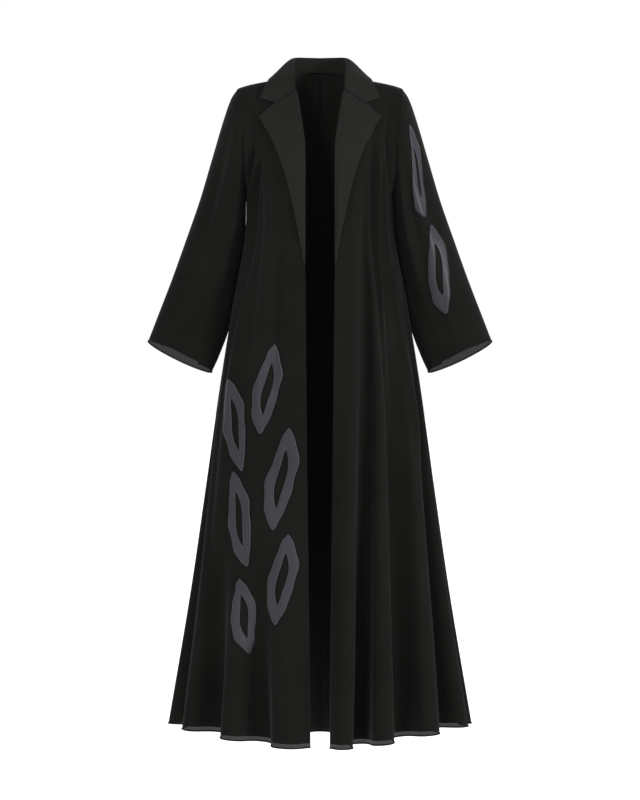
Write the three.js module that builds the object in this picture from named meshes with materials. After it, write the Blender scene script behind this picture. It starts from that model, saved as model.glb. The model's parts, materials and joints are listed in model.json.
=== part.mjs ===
// Open-front abaya cloak, filled out and empty, hanging from the shoulders.
// Millimetres. +Z up, the front faces -Y, the wearer's left is +X. The origin is the middle of the
// shoulder line. "drop" is the distance below the shoulder line.
import * as THREE from 'three';

const CLOTH = 1.6; // thickness of the main cloth
const FACED_CLOTH = 2.0; // lapels and collar, cloth and facing together
const LEAF_CLOTH = 1.0; // satin appliqué
const SEAM_GAP = 0.35; // clear distance between two sewn pieces
const LAID_GAP = 0.6; // clear distance under a lapel that lies on a panel
const LEAF_GAP = 2.8; // clear distance under a leaf, whose edges span the panel's curves

const UNDERARM_DROP = 245;
const HEM_DROP_FRONT = 1395;
const HEM_DROP_BACK = 1400;
const HEM_RISE_SIDE = 36; // the hem is this much higher at the side seams

const NECK_POINT = { x: 62, y: 2, drop: -6 };
const SHOULDER_POINT = { x: 173, y: 2, drop: 18 };
const BACK_NECK = { x: 0, y: 62, drop: -20 };
const BACK_NECK_GIRTH = 1.56; // where the back panel passes from shoulder seam to neckline
const ARMHOLE_DEPTH = 62; // half of the armhole, front to back
const SLEEVE_CLEARANCE = 4; // from the sleeve to the side of the body

const ROWS_ABOVE = [0, 0.1, 0.27, 0.5, 0.75, 0.92];
const ROWS_BELOW = [0, 0.09, 0.2, 0.33, 0.46, 0.6, 0.74, 0.87, 1];
const PANEL_COLUMNS = 23;
const SLEEVE_ROWS = [0, 0.1, 0.25, 0.42, 0.6, 0.78, 0.9, 1];
const SLEEVE_COLUMNS = 20;

// Sections of the body below the underarm. share: 0 at the underarm, 1 at the hem.
const BODY_SECTIONS = [
  { share: 0.0, halfWidth: 156, frontDepth: 118, backDepth: 112 },
  { share: 0.08, halfWidth: 158, frontDepth: 122, backDepth: 112 },
  { share: 0.19, halfWidth: 181, frontDepth: 132, backDepth: 121 },
  { share: 0.35, halfWidth: 210, frontDepth: 147, backDepth: 136 },
  { share: 0.54, halfWidth: 240, frontDepth: 162, backDepth: 153 },
  { share: 0.75, halfWidth: 274, frontDepth: 176, backDepth: 169 },
  { share: 1.0, halfWidth: 321, frontDepth: 190, backDepth: 186 },
];

// Front edge of the front panels above the underarm, which is the fold line of the lapel.
const FRONT_EDGE = [
  { drop: -6, x: 62, y: 2 },
  { drop: 10, x: 56, y: -34 },
  { drop: 28, x: 50.5, y: -56 },
  { drop: 60, x: 45, y: -76 },
  { drop: 100, x: 39, y: -93 },
  { drop: 140, x: 33.5, y: -104 },
  { drop: 190, x: 32, y: -111 },
  { drop: 245, x: 32, y: -115.5 },
];
const FRONT_EDGE_AT_HEM = 21; // half of the front opening at the hem

// Folds of the skirt, in order round one side. girth: 0 front edge, 1 side seam, 2 centre back.
// depth: how far the cloth stands in from the outer form at the hem. from: the share where it starts.
const FOLDS_LEFT = [
  { top: -0.1, hem: -0.06, depth: 46, from: 0.2 },
  { top: 0.18, hem: 0.075, depth: 0, from: 0.0 },
  { top: 0.38, hem: 0.18, depth: 78, from: 0.0 },
  { top: 0.47, hem: 0.3, depth: 0, from: 0.0 },
  { top: 0.58, hem: 0.45, depth: 72, from: 0.0 },
  { top: 0.9, hem: 0.595, depth: 0, from: 0.1 },
  { top: 0.94, hem: 0.73, depth: 64, from: 0.15 },
  { top: 0.97, hem: 0.86, depth: 0, from: 0.3 },
  { top: 0.985, hem: 0.93, depth: 26, from: 0.5 },
  { top: 1.0, hem: 1.0, depth: 0, from: 0.3 },
  { top: 1.14, hem: 1.12, depth: 56, from: 0.3 },
  { top: 1.26, hem: 1.24, depth: 0, from: 0.2 },
  { top: 1.38, hem: 1.36, depth: 66, from: 0.12 },
  { top: 1.5, hem: 1.48, depth: 5, from: 0.1 },
  { top: 1.62, hem: 1.61, depth: 58, from: 0.18 },
  { top: 1.75, hem: 1.74, depth: 0, from: 0.1 },
  { top: 1.88, hem: 1.87, depth: 52, from: 0.3 },
  { top: 2.0, hem: 2.0, depth: 4, from: 0.1 },
  { top: 2.13, hem: 2.13, depth: 52, from: 0.3 },
];
const FOLDS_RIGHT = [
  { top: -0.12, hem: -0.1, depth: 58, from: 0.5 },
  { top: 0.26, hem: 0.152, depth: 0, from: 0.4 },
  { top: 0.44, hem: 0.3, depth: 70, from: 0.66 },
  { top: 0.6, hem: 0.46, depth: 0, from: 0.35 },
  { top: 0.76, hem: 0.6, depth: 62, from: 0.62 },
  { top: 0.9, hem: 0.745, depth: 0, from: 0.2 },
  { top: 0.96, hem: 0.88, depth: 40, from: 0.4 },
  { top: 1.0, hem: 1.0, depth: 0, from: 0.3 },
  { top: 1.13, hem: 1.13, depth: 58, from: 0.25 },
  { top: 1.26, hem: 1.25, depth: 4, from: 0.2 },
  { top: 1.38, hem: 1.37, depth: 62, from: 0.14 },
  { top: 1.5, hem: 1.5, depth: 0, from: 0.1 },
  { top: 1.63, hem: 1.62, depth: 54, from: 0.2 },
  { top: 1.75, hem: 1.75, depth: 3, from: 0.1 },
  { top: 1.88, hem: 1.88, depth: 50, from: 0.3 },
  { top: 2.0, hem: 2.0, depth: 4, from: 0.1 },
  { top: 2.13, hem: 2.13, depth: 50, from: 0.3 },
];

// Soft ridges drawn from the chest and shoulder. level: 0 shoulder seam, 1 underarm, 2 hem.
const RIDGES_LEFT = [
  { girthFrom: 0.55, levelFrom: 0.55, girthTo: 0.45, levelTo: 1.25, width: 0.06, height: 6 },
  { girthFrom: 0.6, levelFrom: 0.6, girthTo: 0.98, levelTo: 1.22, width: 0.05, height: 5 },
];
const RIDGES_RIGHT = [
  { girthFrom: 0.62, levelFrom: 0.6, girthTo: 0.95, levelTo: 1.08, width: 0.06, height: 6 },
];

// Sleeve sections. outer and inner: the two edges seen from the front. depth: half, front to back.
const SLEEVE_SECTIONS = [
  { share: 0.0, outerX: 173, outerDrop: 18, innerX: 156, innerDrop: 245, depth: 62, y: 0 },
  { share: 0.05, outerX: 188, outerDrop: 40, innerX: 156.5, innerDrop: 264, depth: 64, y: 3 },
  { share: 0.13, outerX: 204.5, outerDrop: 85, innerX: 157, innerDrop: 295, depth: 65, y: 9 },
  { share: 0.285, outerX: 230, outerDrop: 169, innerX: 160, innerDrop: 354, depth: 63, y: 19 },
  { share: 0.44, outerX: 255.5, outerDrop: 254, innerX: 171, innerDrop: 412, depth: 60, y: 24 },
  { share: 0.6, outerX: 285, outerDrop: 339, innerX: 182, innerDrop: 472, depth: 57, y: 22 },
  { share: 0.757, outerX: 315, outerDrop: 424, innerX: 196, innerDrop: 530, depth: 54, y: 15 },
  { share: 0.915, outerX: 347, outerDrop: 508, innerX: 217, innerDrop: 590, depth: 51, y: 8 },
  { share: 1.0, outerX: 364, outerDrop: 553, innerX: 229, innerDrop: 618, depth: 50, y: 4 },
];
const CUFF_SLANT = 9.5; // the front of the cuff is lower, the back higher, by this much
const SLEEVE_FOLDS = [
  { angle: 0.95, spread: 0.32, height: -9, from: 0.0, to: 0.55 },
  { angle: 2.2, spread: 0.4, height: -7, from: 0.5, to: 1.1 },
  { angle: 4.3, spread: 0.45, height: -9, from: 0.0, to: 0.8 },
  { angle: 5.4, spread: 0.4, height: -6, from: 0.4, to: 1.1 },
];

// Lapel: from the fold line out to this edge.
const LAPEL_EDGE = [
  { drop: 85, x: 128 },
  { drop: 146, x: 94 },
  { drop: 222, x: 67.5 },
  { drop: 316, x: 46.8 },
  { drop: 390, x: 34.5 },
];
const GORGE = { x: 50.5, drop: 28 };
const NOTCH = { x: 94, drop: 56 };
const LAPEL_COLUMNS = 6;
const LAPEL_ROWS = 11;

// Collar stations from the centre back to the front end: the neck seam, the fold at the top, and the
// outer edge of the fall.
const COLLAR_STATIONS = [
  {
    seamX: 0, seamY: 60, seamUp: 21,
    foldX: 0, foldY: 57, foldUp: 53,
    edgeX: 0, edgeY: 82, edgeUp: -8,
  },
  {
    seamX: 31, seamY: 53, seamUp: 19,
    foldX: 30, foldY: 51, foldUp: 53,
    edgeX: 44, edgeY: 78, edgeUp: -5,
  },
  {
    seamX: 52, seamY: 34, seamUp: 14,
    foldX: 50, foldY: 33, foldUp: 51,
    edgeX: 84, edgeY: 52, edgeUp: 2,
  },
  {
    seamX: 60, seamY: 6, seamUp: 10,
    foldX: 57, foldY: 4, foldUp: 44,
    edgeX: 104, edgeY: 8, edgeUp: 6,
  },
  {
    seamX: 57, seamY: -24, seamUp: 3,
    foldX: 56, foldY: -24, foldUp: 24,
    edgeX: 113, edgeY: -24, edgeUp: -9,
  },
  {
    seamX: 53, seamY: -44, seamUp: -10,
    foldX: 53, foldY: -48, foldUp: 0,
    edgeX: 120, edgeY: -44, edgeUp: -28,
  },
  {
    seamX: 50.5, seamY: -58, seamUp: -24,
    foldX: 50.5, foldY: -61, foldUp: -26,
    edgeX: 126, edgeY: -60, edgeUp: -44,
  },
];

// Leaves. girth and share: the middle. turn: radians from upright. All lengths on the cloth.
const SKIRT_LEAVES = [
  { girth: 0.33, share: 0.36, turn: 0.1, length: 190, width: 52 },
  { girth: 0.6, share: 0.43, turn: -0.3, length: 200, width: 54 },
  { girth: 0.19, share: 0.52, turn: 0.14, length: 215, width: 58 },
  { girth: 0.49, share: 0.6, turn: -0.26, length: 200, width: 56 },
  { girth: 0.17, share: 0.7, turn: 0.12, length: 190, width: 54 },
  { girth: 0.42, share: 0.775, turn: -0.16, length: 155, width: 48 },
];
const SLEEVE_LEAVES = [
  { angle: 1.1, share: 0.24, turn: 0.2, length: 160, width: 54 },
  { angle: 1.34, share: 0.63, turn: 0.16, length: 170, width: 56 },
];
const LEAF_STATIONS = 9;

const BLACK = { color: 0x20201e, roughness: 0.85, metalness: 0.0 };
const FACED_BLACK = { color: 0x232322, roughness: 0.8, metalness: 0.0 };
const SATIN_GREY = { color: 0x44424a, roughness: 0.45, metalness: 0.0 };

const vec = (x, y, z) => new THREE.Vector3(x, y, z);
const mix = (a, b, f) => a + (b - a) * f;
const clamp = (value, low, high) => Math.min(high, Math.max(low, value));

// Smooth value of one column of a table at a place along its key column.
function smooth(table, key, at, column) {
  const last = table.length - 1;
  let i = 0;
  while (i < last - 1 && at > table[i + 1][key]) i += 1;
  const before = table[Math.max(i - 1, 0)];
  const a = table[i];
  const b = table[i + 1];
  const after = table[Math.min(i + 2, last)];
  const span = b[key] - a[key];
  const f = clamp((at - a[key]) / span, 0, 1);
  const slopeA = ((b[column] - before[column]) / (b[key] - before[key])) * span;
  const slopeB = ((after[column] - a[column]) / (after[key] - a[key])) * span;
  const f2 = f * f;
  const f3 = f2 * f;
  return (
    (2 * f3 - 3 * f2 + 1) * a[column] +
    (f3 - 2 * f2 + f) * slopeA +
    (3 * f2 - 2 * f3) * b[column] +
    (f3 - f2) * slopeB
  );
}

const OVAL_STEPS = 60;
const ovals = new Map();

// Lengths along one quarter of the body's oval, front or back, at a share of the height.
function quarter(share, back) {
  const name = `${share.toFixed(5)} ${back}`;
  if (!ovals.has(name)) {
    const a = smooth(BODY_SECTIONS, 'share', share, 'halfWidth');
    const b = smooth(BODY_SECTIONS, 'share', share, back ? 'backDepth' : 'frontDepth');
    const edge = mix(FRONT_EDGE.at(-1).x, FRONT_EDGE_AT_HEM, share);
    const start = back ? Math.PI / 2 : Math.asin(edge / a);
    const end = back ? Math.PI : Math.PI / 2;
    const lengths = [0];
    for (let k = 1; k <= OVAL_STEPS; k += 1) {
      const angle = mix(start, end, (k - 0.5) / OVAL_STEPS);
      const step = Math.hypot(a * Math.cos(angle), b * Math.sin(angle)) * ((end - start) / OVAL_STEPS);
      lengths.push(lengths[k - 1] + step);
    }
    ovals.set(name, { a, b, start, end, lengths });
  }
  return ovals.get(name);
}

// Point and outward direction on the body's oval at a girth: 0 front edge, 1 side, 2 centre back.
function ovalAt(share, girth) {
  const back = girth > 1;
  const { a, b, start, end, lengths } = quarter(share, back);
  const total = lengths[OVAL_STEPS];
  const wanted = (back ? girth - 1 : girth) * total;
  let k = 0;
  while (k < OVAL_STEPS - 1 && lengths[k + 1] < wanted) k += 1;
  const f = (wanted - lengths[k]) / (lengths[k + 1] - lengths[k]);
  const angle = mix(start, end, (k + f) / OVAL_STEPS);
  const out = vec(Math.sin(angle) / a, -Math.cos(angle) / b, 0).normalize();
  return { point: vec(a * Math.sin(angle), -b * Math.cos(angle), 0), out, total };
}

const hemDrop = (girth) => {
  const level = mix(HEM_DROP_FRONT, HEM_DROP_BACK, clamp(girth - 0.5, 0, 1));
  return level - HEM_RISE_SIDE * Math.sin((Math.PI * clamp(girth, 0, 2)) / 2) ** 2;
};

// Where the cloth hangs below the underarm, on the wearer's left or right side.
function skirtPoint(folds, girth, share) {
  const reach = share ** 0.85;
  const place = (fold) => mix(fold.top, fold.hem, reach);
  const inward = (fold) => fold.depth * clamp((share - fold.from) / (1 - fold.from), 0, 1);
  let i = 0;
  while (i < folds.length - 2 && girth > place(folds[i + 1])) i += 1;
  const from = place(folds[i]);
  const to = place(folds[i + 1]);
  const f = clamp((girth - from) / (to - from), 0, 1);
  const depth = mix(inward(folds[i]), inward(folds[i + 1]), (1 - Math.cos(Math.PI * f)) / 2);
  const { total } = ovalAt(share, clamp(girth, 0, 2));
  const steepness = Math.abs(inward(folds[i]) - inward(folds[i + 1])) / (2 * (to - from) * total);
  const overhang = Math.min(0.62, steepness ** 2);
  const atEdge = clamp(Math.min(girth, 2 - girth) / 0.05, 0, 1);
  const shift = ((to - from) * overhang * atEdge * Math.sin(2 * Math.PI * f)) / Math.PI;
  const { point, out } = ovalAt(share, clamp(girth + shift, 0, 2));
  const spot = point.addScaledVector(out, -depth);
  spot.z = -mix(UNDERARM_DROP, hemDrop(girth), share);
  return spot;
}

// The armhole loop, shared by panels and sleeve. angle: 0 top, half a turn at the underarm.
function armhole(angle) {
  const along = (1 - Math.cos(angle)) / 2;
  return vec(
    mix(SHOULDER_POINT.x, smooth(BODY_SECTIONS, 'share', 0, 'halfWidth'), along),
    -ARMHOLE_DEPTH * Math.sin(angle) + SHOULDER_POINT.y * (1 - along),
    -mix(SHOULDER_POINT.drop, UNDERARM_DROP, along),
  );
}

// The angle on the armhole that is as far down it as a panel's level.
const armholeAngle = (level, back) => Math.acos(1 - 2 * level) * (back ? -1 : 1);

const armholeOut = (angle) => vec(0, -Math.sin(angle), Math.cos(angle)).normalize();

function shoulderSeam(f) {
  const droop = 4 * f ** 6;
  return vec(
    mix(NECK_POINT.x, SHOULDER_POINT.x, f),
    mix(NECK_POINT.y, SHOULDER_POINT.y, f),
    -mix(NECK_POINT.drop, SHOULDER_POINT.drop - 4, f) - droop,
  );
}

function backNeckline(f) {
  const turn = (Math.PI / 2) * f;
  return vec(
    NECK_POINT.x * Math.cos(turn),
    mix(NECK_POINT.y, BACK_NECK.y, Math.sin(turn)),
    -mix(NECK_POINT.drop, BACK_NECK.drop, Math.sin(turn)),
  );
}

function topEdge(girth) {
  if (girth <= 1) return shoulderSeam(girth);
  if (girth < BACK_NECK_GIRTH) return shoulderSeam(1 - (girth - 1) / (BACK_NECK_GIRTH - 1));
  return backNeckline((girth - BACK_NECK_GIRTH) / (2 - BACK_NECK_GIRTH));
}

function frontEdge(level) {
  const drop = mix(FRONT_EDGE[0].drop, UNDERARM_DROP, level);
  return vec(smooth(FRONT_EDGE, 'drop', drop, 'x'), smooth(FRONT_EDGE, 'drop', drop, 'y'), -drop);
}

function curve(start, startPull, end, endPull, f) {
  const f2 = f * f;
  const f3 = f2 * f;
  return start.clone().multiplyScalar(2 * f3 - 3 * f2 + 1)
    .addScaledVector(startPull, f3 - 2 * f2 + f)
    .addScaledVector(end, 3 * f2 - 2 * f3)
    .addScaledVector(endPull, f3 - f2);
}

// Where the cloth lies between the shoulder seam (level 0) and the underarm (level 1).
function yokePoint(folds, back, girth, level) {
  const column = (at) => {
    const end = skirtPoint(folds, at, 0);
    const endPull = skirtPoint(folds, at, 0.04).sub(end).multiplyScalar(5.2);
    const startPull = back ? vec(0, 95, -70) : vec(0, -130, -80);
    return curve(topEdge(at), startPull, end, endPull, level);
  };
  const spot = column(girth);
  const near = back ? 2 - girth : girth;
  const angle = armholeAngle(level, back);
  spot.addScaledVector(armhole(angle).sub(column(back ? 1.000001 : 1)), near ** 3);
  if (!back) spot.addScaledVector(frontEdge(level).sub(column(0)), (1 - girth) ** 3);
  return spot;
}

function ridgeHeight(ridges, girth, level) {
  let height = 0;
  for (const ridge of ridges) {
    const f = (level - ridge.levelFrom) / (ridge.levelTo - ridge.levelFrom);
    if (f > 0 && f < 1) {
      const off = (girth - mix(ridge.girthFrom, ridge.girthTo, f)) / ridge.width;
      height += ridge.height * Math.sin(Math.PI * f) * Math.exp(-off * off);
    }
  }
  return height;
}

// The cloth's outer face for one panel. level runs 0 shoulder seam, 1 underarm, 2 hem.
function bodyPoint(side, back, girth, level) {
  const folds = side > 0 ? FOLDS_LEFT : FOLDS_RIGHT;
  const ridges = side > 0 ? RIDGES_LEFT : RIDGES_RIGHT;
  const spot = level < 1
    ? yokePoint(folds, back, girth, level)
    : skirtPoint(folds, girth, level - 1);
  const raise = back ? 0 : ridgeHeight(ridges, girth, level);
  spot.y -= raise;
  spot.x *= side;
  return spot;
}

// Direction out of the cloth, from two nearby points each way.
function outward(surface, u, v, uLow, uHigh, vLow, vHigh, hint) {
  const step = 0.004;
  const alongU = surface(clamp(u + step, uLow, uHigh), v).sub(surface(clamp(u - step, uLow, uHigh), v));
  const alongV = surface(u, clamp(v + step, vLow, vHigh)).sub(surface(u, clamp(v - step, vLow, vHigh)));
  const out = alongU.cross(alongV).normalize();
  return out.dot(hint) < 0 ? out.negate() : out;
}

// One closed body of cloth between an outer and an inner grid of points.
function clothBody(outer, inner, looped) {
  const rows = outer.length;
  const columns = outer[0].length;
  const corners = [...outer.flat(), ...inner.flat()];
  const index = (layer, r, c) => layer * rows * columns + r * columns + (c % columns);
  const faces = [];
  const quad = (a, b, c, d) => faces.push(a, b, c, a, c, d);
  const lastColumn = looped ? columns : columns - 1;
  for (let r = 0; r < rows - 1; r += 1) {
    for (let c = 0; c < lastColumn; c += 1) {
      quad(index(0, r, c), index(0, r + 1, c), index(0, r + 1, c + 1), index(0, r, c + 1));
      quad(index(1, r, c), index(1, r, c + 1), index(1, r + 1, c + 1), index(1, r + 1, c));
    }
  }
  for (let c = 0; c < lastColumn; c += 1) {
    quad(index(0, 0, c), index(0, 0, c + 1), index(1, 0, c + 1), index(1, 0, c));
    const r = rows - 1;
    quad(index(0, r, c + 1), index(0, r, c), index(1, r, c), index(1, r, c + 1));
  }
  if (!looped) {
    for (let r = 0; r < rows - 1; r += 1) {
      quad(index(0, r + 1, 0), index(0, r, 0), index(1, r, 0), index(1, r + 1, 0));
      const c = columns - 1;
      quad(index(0, r, c), index(0, r + 1, c), index(1, r + 1, c), index(1, r, c));
    }
  }
  let volume = 0;
  for (let k = 0; k < faces.length; k += 3) {
    const [a, b, c] = [corners[faces[k]], corners[faces[k + 1]], corners[faces[k + 2]]];
    volume += a.dot(b.clone().cross(c));
  }
  if (volume < 0) faces.reverse();
  const geometry = new THREE.BufferGeometry();
  const places = corners.flatMap((corner) => corner.toArray());
  geometry.setAttribute('position', new THREE.Float32BufferAttribute(places, 3));
  geometry.setIndex(faces);
  geometry.computeVertexNormals();
  return geometry;
}

function meshOf(name, geometry, look) {
  const mesh = new THREE.Mesh(geometry, new THREE.MeshStandardMaterial(look));
  mesh.name = name;
  return mesh;
}

const panelLevels = [...ROWS_ABOVE, ...ROWS_BELOW.map((share) => 1 + share)];

// Direction square to a grid of points at one of them, from the flat faces round it.
function gridOut(grid, r, c) {
  const at = (row, column) => grid[clamp(row, 0, grid.length - 1)][clamp(column, 0, grid[0].length - 1)];
  const out = vec(0, 0, 0);
  for (const [down, over] of [[1, 1], [1, -1], [-1, 1], [-1, -1]]) {
    const alongRow = at(r, c + over).clone().sub(at(r, c));
    const alongColumn = at(r + down, c).clone().sub(at(r, c));
    const face = alongRow.cross(alongColumn).multiplyScalar(down * over);
    if (face.lengthSq() > 0) out.add(face.normalize());
  }
  return out.normalize();
}

// A front or back panel of one side, its edges drawn in by half a seam gap.
function panel(name, side, back) {
  const girthFrom = back ? 1.000001 : 0;
  const girthTo = back ? 2 : 1;
  const sideColumn = back ? 0 : PANEL_COLUMNS;
  const away = back ? 1 : -1;
  const girthAt = (c) => mix(girthFrom, girthTo, c / PANEL_COLUMNS);
  const form = panelLevels.map((level) =>
    Array.from({ length: PANEL_COLUMNS + 1 }, (_, c) => bodyPoint(side, back, girthAt(c), level)));
  const sense = Math.sign(gridOut(form, 5, 10).y) * away;
  const outer = [];
  const inner = [];
  for (let r = 0; r < panelLevels.length; r += 1) {
    const level = panelLevels[r];
    const outerRow = [];
    const innerRow = [];
    for (let c = 0; c <= PANEL_COLUMNS; c += 1) {
      const spot = form[r][c].clone();
      const out = gridOut(form, r, c).multiplyScalar(sense);
      const atBackSeam = back && c === PANEL_COLUMNS;
      if (level === 0 && (!back || girthAt(c) < BACK_NECK_GIRTH)) out.set(0.2 * side, 0, 1);
      if (c === sideColumn) out.x = side * Math.abs(out.x);
      if (c === sideColumn && level >= 1) out.set(side, 0, 0);
      if (atBackSeam) out.x = 0;
      out.normalize();
      if (c === sideColumn && level <= 1) spot.x -= side * SEAM_GAP;
      if (c === sideColumn && level >= 1) spot.y += (away * SEAM_GAP) / 2;
      if (atBackSeam) spot.x = (side * SEAM_GAP) / 2;
      if (level === 0) spot.y += (away * SEAM_GAP) / 2;
      outerRow.push(spot);
      innerRow.push(spot.clone().addScaledVector(out, -CLOTH));
    }
    outer.push(outerRow);
    inner.push(innerRow);
  }
  return meshOf(name, clothBody(outer, inner, false), BLACK);
}

// The sleeve's outer face. angle: 0 outer edge, a quarter turn at the front, half at the body.
function sleevePoint(side, angle, share) {
  const at = (column) => smooth(SLEEVE_SECTIONS, 'share', share, column);
  const along = (1 - Math.cos(angle)) / 2;
  const spot = vec(
    mix(at('outerX'), at('innerX'), along),
    at('y') - at('depth') * Math.sin(angle),
    -mix(at('outerDrop'), at('innerDrop'), along),
  );
  if (share <= 0) spot.copy(armhole(angle));
  const middle = vec((at('outerX') + at('innerX')) / 2, at('y'), -(at('outerDrop') + at('innerDrop')) / 2);
  const out = spot.clone().sub(middle).normalize();
  for (const fold of SLEEVE_FOLDS) {
    const f = (share - fold.from) / (fold.to - fold.from);
    if (f > 0 && f < 1) {
      const off = Math.sin((angle - fold.angle) / 2) / Math.sin(fold.spread / 2);
      spot.addScaledVector(out, fold.height * Math.sin(Math.PI * f) * Math.exp(-off * off));
    }
  }
  const towardCuff = clamp((share - 0.75) / 0.25, 0, 1) ** 2;
  spot.z -= CUFF_SLANT * Math.sin(angle) * towardCuff;
  const bodyShare = (-spot.z - UNDERARM_DROP) / (HEM_DROP_FRONT - HEM_RISE_SIDE - UNDERARM_DROP);
  if (share > 0) {
    const level = clamp(bodyShare, 0, 1);
    const a = smooth(BODY_SECTIONS, 'share', level, 'halfWidth');
    const b = smooth(BODY_SECTIONS, 'share', level, spot.y > 0 ? 'backDepth' : 'frontDepth');
    const clear = a * Math.sqrt(Math.max(0, 1 - (spot.y / b) ** 2)) + SLEEVE_CLEARANCE;
    const near = clamp((bodyShare + 0.03) / 0.03, 0, 1);
    if (near > 0) spot.x = Math.max(spot.x, mix(spot.x, clear, near));
  }
  spot.x *= side;
  return spot;
}

function sleeveOut(side, angle, share) {
  if (share <= 0) return armholeOut(angle);
  const step = 0.01;
  const turned = sleevePoint(side, angle + step, share).sub(sleevePoint(side, angle - step, share));
  const down = sleevePoint(side, angle, Math.min(1, share + step))
    .sub(sleevePoint(side, angle, Math.max(0.001, share - step)));
  const out = turned.cross(down).normalize();
  const across = sleevePoint(side, angle, share).sub(sleevePoint(side, angle + Math.PI, share));
  return out.dot(across) < 0 ? out.negate() : out;
}

function sleeve(name, side) {
  const outer = [];
  const inner = [];
  for (const share of SLEEVE_ROWS) {
    const outerRow = [];
    const innerRow = [];
    for (let c = 0; c < SLEEVE_COLUMNS; c += 1) {
      const angle = (2 * Math.PI * c) / SLEEVE_COLUMNS;
      const spot = sleevePoint(side, angle, share);
      outerRow.push(spot);
      innerRow.push(spot.clone().addScaledVector(sleeveOut(side, angle, share), -CLOTH));
    }
    outer.push(outerRow);
    inner.push(innerRow);
  }
  return meshOf(name, clothBody(outer, inner, true), BLACK);
}

// Girth and level on a front panel that lie behind a place seen from the front.
function onFront(side, x, drop) {
  const surface = (girth, level) => bodyPoint(side, false, girth, level);
  let girth = 0.3;
  let level = clamp(drop / UNDERARM_DROP, 0.1, 1.3);
  for (let k = 0; k < 14; k += 1) {
    const spot = surface(girth, level);
    const alongU = surface(girth + 0.01, level).sub(spot).divideScalar(0.01);
    const alongV = surface(girth, level + 0.01).sub(spot).divideScalar(0.01);
    const dx = side * x - spot.x;
    const dz = -drop - spot.z;
    const det = alongU.x * alongV.z - alongV.x * alongU.z;
    girth = clamp(girth + (0.8 * (dx * alongV.z - alongV.x * dz)) / det, 0, 1);
    level = clamp(level + (0.8 * (alongU.x * dz - dx * alongU.z)) / det, 0, 2);
  }
  return { girth, level };
}

// A place on the front panel seen from the front, moved out from the cloth.
function liftedFromFront(side, x, drop, lift) {
  const { girth, level } = onFront(side, x, drop);
  const surface = (u, v) => bodyPoint(side, false, u, v);
  const spot = surface(girth, level);
  const out = outward(surface, girth, level, 0, 1, 0, 2, vec(spot.x, spot.y - 20, 40));
  return { spot: spot.addScaledVector(out, lift), out };
}

function gorgeLine(f) {
  const bend = (NOTCH.x - GORGE.x) / (LAPEL_EDGE[0].x - GORGE.x);
  const x = mix(GORGE.x, LAPEL_EDGE[0].x, f);
  const drop = f < bend
    ? mix(GORGE.drop, NOTCH.drop, f / bend)
    : mix(NOTCH.drop, LAPEL_EDGE[0].drop, (f - bend) / (1 - bend));
  return { x, drop };
}

function lapel(name, side) {
  const outer = [];
  const inner = [];
  for (let r = 0; r <= LAPEL_ROWS; r += 1) {
    const f = r / LAPEL_ROWS;
    const outerRow = [];
    const innerRow = [];
    for (let c = 0; c <= LAPEL_COLUMNS; c += 1) {
      const across = c / LAPEL_COLUMNS;
      const top = gorgeLine(across);
      const edgeDrop = mix(LAPEL_EDGE[0].drop, LAPEL_EDGE.at(-1).drop, f);
      const foldDrop = mix(GORGE.drop, LAPEL_EDGE.at(-1).drop + 3, f);
      const foldX = foldDrop < UNDERARM_DROP ? smooth(FRONT_EDGE, 'drop', foldDrop, 'x') : 32;
      const straightX = mix(foldX, smooth(LAPEL_EDGE, 'drop', edgeDrop, 'x'), across);
      const straightDrop = mix(foldDrop, edgeDrop, across);
      const keep = clamp(1 - 4 * f, 0, 1);
      const straightTop = mix(GORGE.drop, LAPEL_EDGE[0].drop, across);
      const drop = straightDrop + keep * (top.drop - straightTop) + (r === 0 ? SEAM_GAP : 0);
      const lift = LAID_GAP + FACED_CLOTH + 2 * across * Math.sin(Math.PI * Math.min(1, f + 0.15));
      const { spot, out } = liftedFromFront(side, straightX + 0.3, drop, lift);
      outerRow.push(spot);
      innerRow.push(spot.clone().addScaledVector(out, -FACED_CLOTH));
    }
    outer.push(outerRow);
    inner.push(innerRow);
  }
  return meshOf(name, clothBody(outer, inner, false), FACED_BLACK);
}

const STAND_SHARE = 0.3; // of the collar's section, from the neck seam up to the fold
const COLLAR_ACROSS = [0, 0.15, 0.3, 0.38, 0.5, 0.65, 0.82, 1];
const COLLAR_ROUND = 20;

// The collar's outer face. round: -1 wearer's right end, 1 left end. across: neck seam to outer edge.
function collarPoint(round, across) {
  const side = round < 0 ? -1 : 1;
  const place = Math.abs(round) * (COLLAR_STATIONS.length - 1);
  const stations = COLLAR_STATIONS.map((station, order) => ({ order, ...station }));
  const at = (column) => smooth(stations, 'order', place, column);
  const seam = vec(at('seamX'), at('seamY'), at('seamUp'));
  const fold = vec(at('foldX'), at('foldY'), at('foldUp'));
  const edge = vec(at('edgeX'), at('edgeY'), at('edgeUp'));
  let spot;
  if (across < STAND_SHARE) {
    spot = seam.lerp(fold, across / STAND_SHARE);
  } else {
    const f = (across - STAND_SHARE) / (1 - STAND_SHARE);
    const outThenDown = vec(edge.x - fold.x, edge.y - fold.y, -2).multiplyScalar(1.1);
    const fall = edge.clone().sub(fold);
    spot = curve(fold, outThenDown, edge, fall, f);
    const notchDip = clamp((Math.abs(round) - 0.8) / 0.2, 0, 1) * 10 * Math.sin(Math.PI * f);
    spot.z -= notchDip;
  }
  spot.x *= side;
  return spot;
}

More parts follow.
